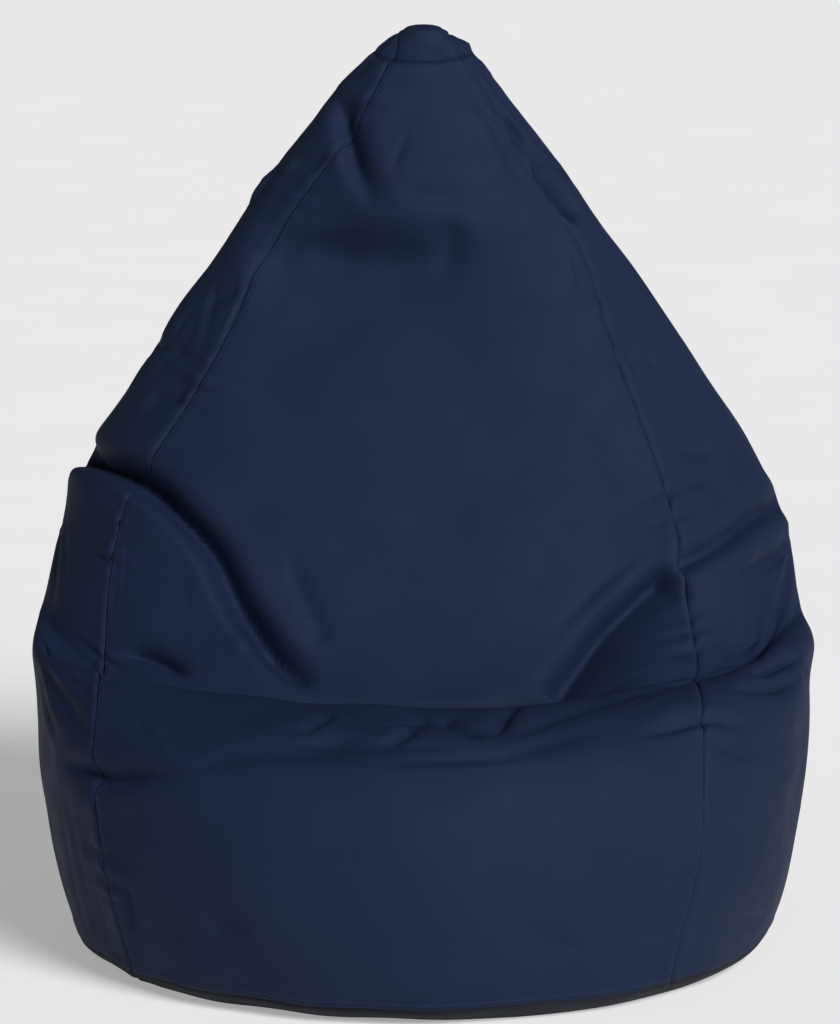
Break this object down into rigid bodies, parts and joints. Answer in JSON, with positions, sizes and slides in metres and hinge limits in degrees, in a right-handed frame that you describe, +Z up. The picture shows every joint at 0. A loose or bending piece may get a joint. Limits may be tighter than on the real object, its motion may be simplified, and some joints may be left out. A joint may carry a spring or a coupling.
{
  "type": "bean bag chair",
  "caption": "Pear-shaped bean bag chair with a rolled front edge, low arm rests and a tall soft backrest, in a zipped fabric cover over a zipped liner of loose beads.",
  "frame": {"origin": "centre of the flat base where it rests on the floor", "axes": "+Z up, -Y to the front where the sitter's legs go, +X to the right as seen by someone who faces the chair"},
  "size_m": [0.77, 0.7748, 0.877],
  "materials": {
    "cover_fabric": "plain woven navy polyester with a low satin sheen",
    "base_fabric": "heavier plain woven cloth, matt and nearly black",
    "cover_zip_tape": "woven zip tape, matt navy",
    "cover_zip_coil": "moulded nylon coil, semi-matt navy",
    "cover_zip_metal": "die-cast metal with satin navy paint",
    "liner_fabric": "thin spun-bonded non-woven, matt white",
    "liner_zip_tape": "woven zip tape, matt white",
    "liner_zip_coil": "moulded nylon coil, semi-matt white",
    "liner_zip_metal": "die-cast metal with satin white paint",
    "beads": "loose white foam beads, matt"
  },
  "bodies": {
    "bag": {"base_panel": "base_fabric", "front_panel": "cover_fabric", "left_side_panel": "cover_fabric", "right_side_panel": "cover_fabric", "back_left_panel": "cover_fabric", "back_right_panel": "cover_fabric", "top_cap": "cover_fabric", "cover_zip_tape_left": "cover_zip_tape", "cover_zip_tape_right": "cover_zip_tape", "cover_zip_coil_left": "cover_zip_coil", "cover_zip_coil_right": "cover_zip_coil", "cover_zip_top_stops": "cover_zip_metal", "cover_zip_bottom_stop": "cover_zip_metal", "liner_left": "liner_fabric", "liner_right": "liner_fabric", "liner_zip_tape_left": "liner_zip_tape", "liner_zip_tape_right": "liner_zip_tape", "liner_zip_coil_left": "liner_zip_coil", "liner_zip_coil_right": "liner_zip_coil", "liner_zip_top_stops": "liner_zip_metal", "liner_zip_bottom_stop": "liner_zip_metal", "bead_filling": "beads"},
    "cover_slider": {"cover_zip_slider": "cover_zip_metal"},
    "cover_pull": {"cover_zip_pull": "cover_zip_metal"},
    "liner_slider": {"liner_zip_slider": "liner_zip_metal"}
  },
  "joints": [
    {"name": "cover_zip_travel", "type": "hinge", "parent": "bag", "child": "cover_slider", "pos_m": [0, -0.168, 0.25], "axis": [-1, 0, 0], "range_deg": [0, 31.4]},
    {"name": "cover_pull_swing", "type": "hinge", "parent": "cover_slider", "child": "cover_pull", "pos_m": [0, 0.37477, 0.40274], "axis": [1, 0, 0], "range_deg": [0, 170]},
    {"name": "liner_zip_travel", "type": "hinge", "parent": "bag", "child": "liner_slider", "pos_m": [-0.0184, -0.16704, 0.25], "axis": [-0.9945, 0.1045, 0], "range_deg": [0, 31.4]}
  ]
}
